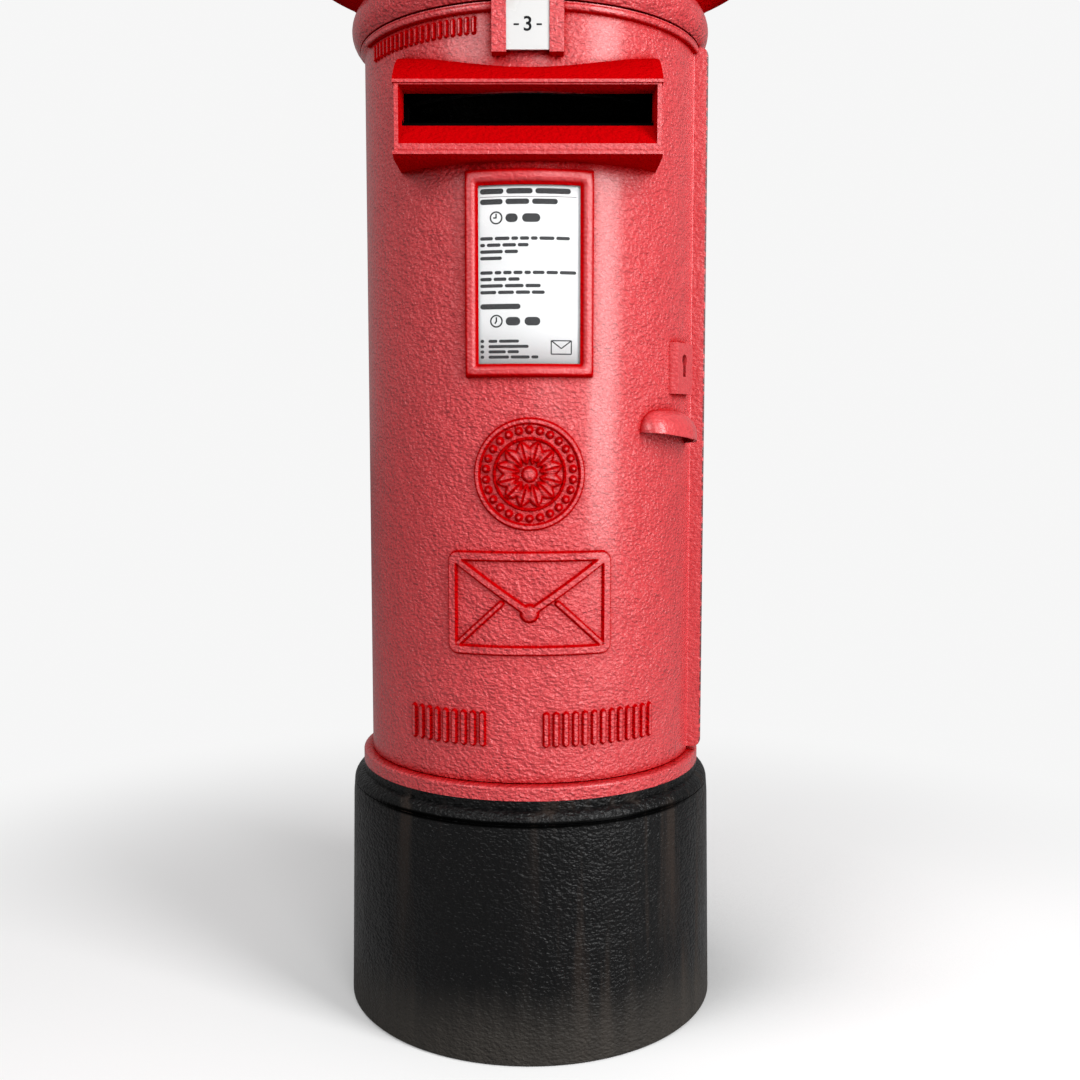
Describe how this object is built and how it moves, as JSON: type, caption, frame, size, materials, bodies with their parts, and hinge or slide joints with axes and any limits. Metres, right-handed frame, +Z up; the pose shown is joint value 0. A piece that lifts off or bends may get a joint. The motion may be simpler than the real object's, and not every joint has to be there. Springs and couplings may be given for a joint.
{
  "type": "pillar post box",
  "caption": "Free-standing round cast-iron post box with domed cap, hinged curved door, letter slot, notice frame and lever lock.",
  "frame": {"origin": "middle of the underside of the base plinth, on the drum's axis", "axes": "+Z up, -Y out of the door and its letter slot, +X to the right of a person facing the door"},
  "size_m": [0.6479, 0.648, 1.6],
  "materials": {
    "red_paint": "thick gloss paint over rough cast iron, wrinkled",
    "black_paint": "semi-gloss paint over cast iron, streaked with dirt",
    "zinc_steel": "zinc plated",
    "galvanised_sheet": "galvanised, dull",
    "galvanised_wire": "galvanised wire",
    "lock_steel": "blackened",
    "lock_brass": "worn",
    "clear_window": "clear sheet",
    "printed_card": "printed card",
    "backing_board": "foamed board",
    "white_enamel": "vitreous enamel"
  },
  "bodies": {
    "pillar": {"base_plinth": "black_paint", "plinth_bolts": "zinc_steel", "floor_plate": "galvanised_sheet", "floor_screws": "zinc_steel", "body_shell": "red_paint", "roof_cap": "red_paint", "cap_bolts": "zinc_steel", "hinge_pins": "zinc_steel", "lock_keep": "lock_brass", "keep_screws": "zinc_steel", "cage_front": "galvanised_wire", "cage_sides": "galvanised_wire", "cage_clips": "galvanised_sheet"},
    "door": {"door": "red_paint", "closing_strip": "red_paint", "slot_hood": "red_paint", "hood_screws": "zinc_steel", "letter_chute": "galvanised_sheet", "notice_frame": "red_paint", "notice_window": "clear_window", "notice_card": "printed_card", "notice_backing": "backing_board", "notice_back_plate": "galvanised_sheet", "notice_thumbscrews": "lock_brass", "tablet_holder": "red_paint", "lock_escutcheon": "red_paint", "lock_case": "lock_steel", "lock_cover": "lock_steel", "lock_screws": "zinc_steel", "lever_pivot": "zinc_steel", "door_pull": "red_paint"},
    "bolt": {"lock_bolt": "lock_brass"},
    "levers": {"lock_levers": "lock_brass", "lever_springs": "lock_steel"},
    "tablet": {"day_tablet": "white_enamel"}
  },
  "joints": [
    {"name": "door_hinge", "type": "hinge", "parent": "pillar", "child": "door", "pos_m": [-0.22187, 0.00775, 0.845], "axis": [0, 0, -1], "range_deg": [0, 110]},
    {"name": "lock_bolt_slide", "type": "slide", "parent": "door", "child": "bolt", "axis": [0.4879, 0.8729, 0], "range_m": [0, 0.016]},
    {"name": "lever_lift", "type": "hinge", "parent": "door", "child": "levers", "pos_m": [0.1611, -0.12784, 0.955], "axis": [0.8729, -0.4879, 0], "range_deg": [0, 5], "stiffness_Nm_per_rad": 0.1, "springref_deg": -5.73, "deforming": ["lever_springs"]},
    {"name": "tablet_lift", "type": "slide", "parent": "door", "child": "tablet", "axis": [0, 0, 1], "range_m": [0, 0.004]}
  ]
}
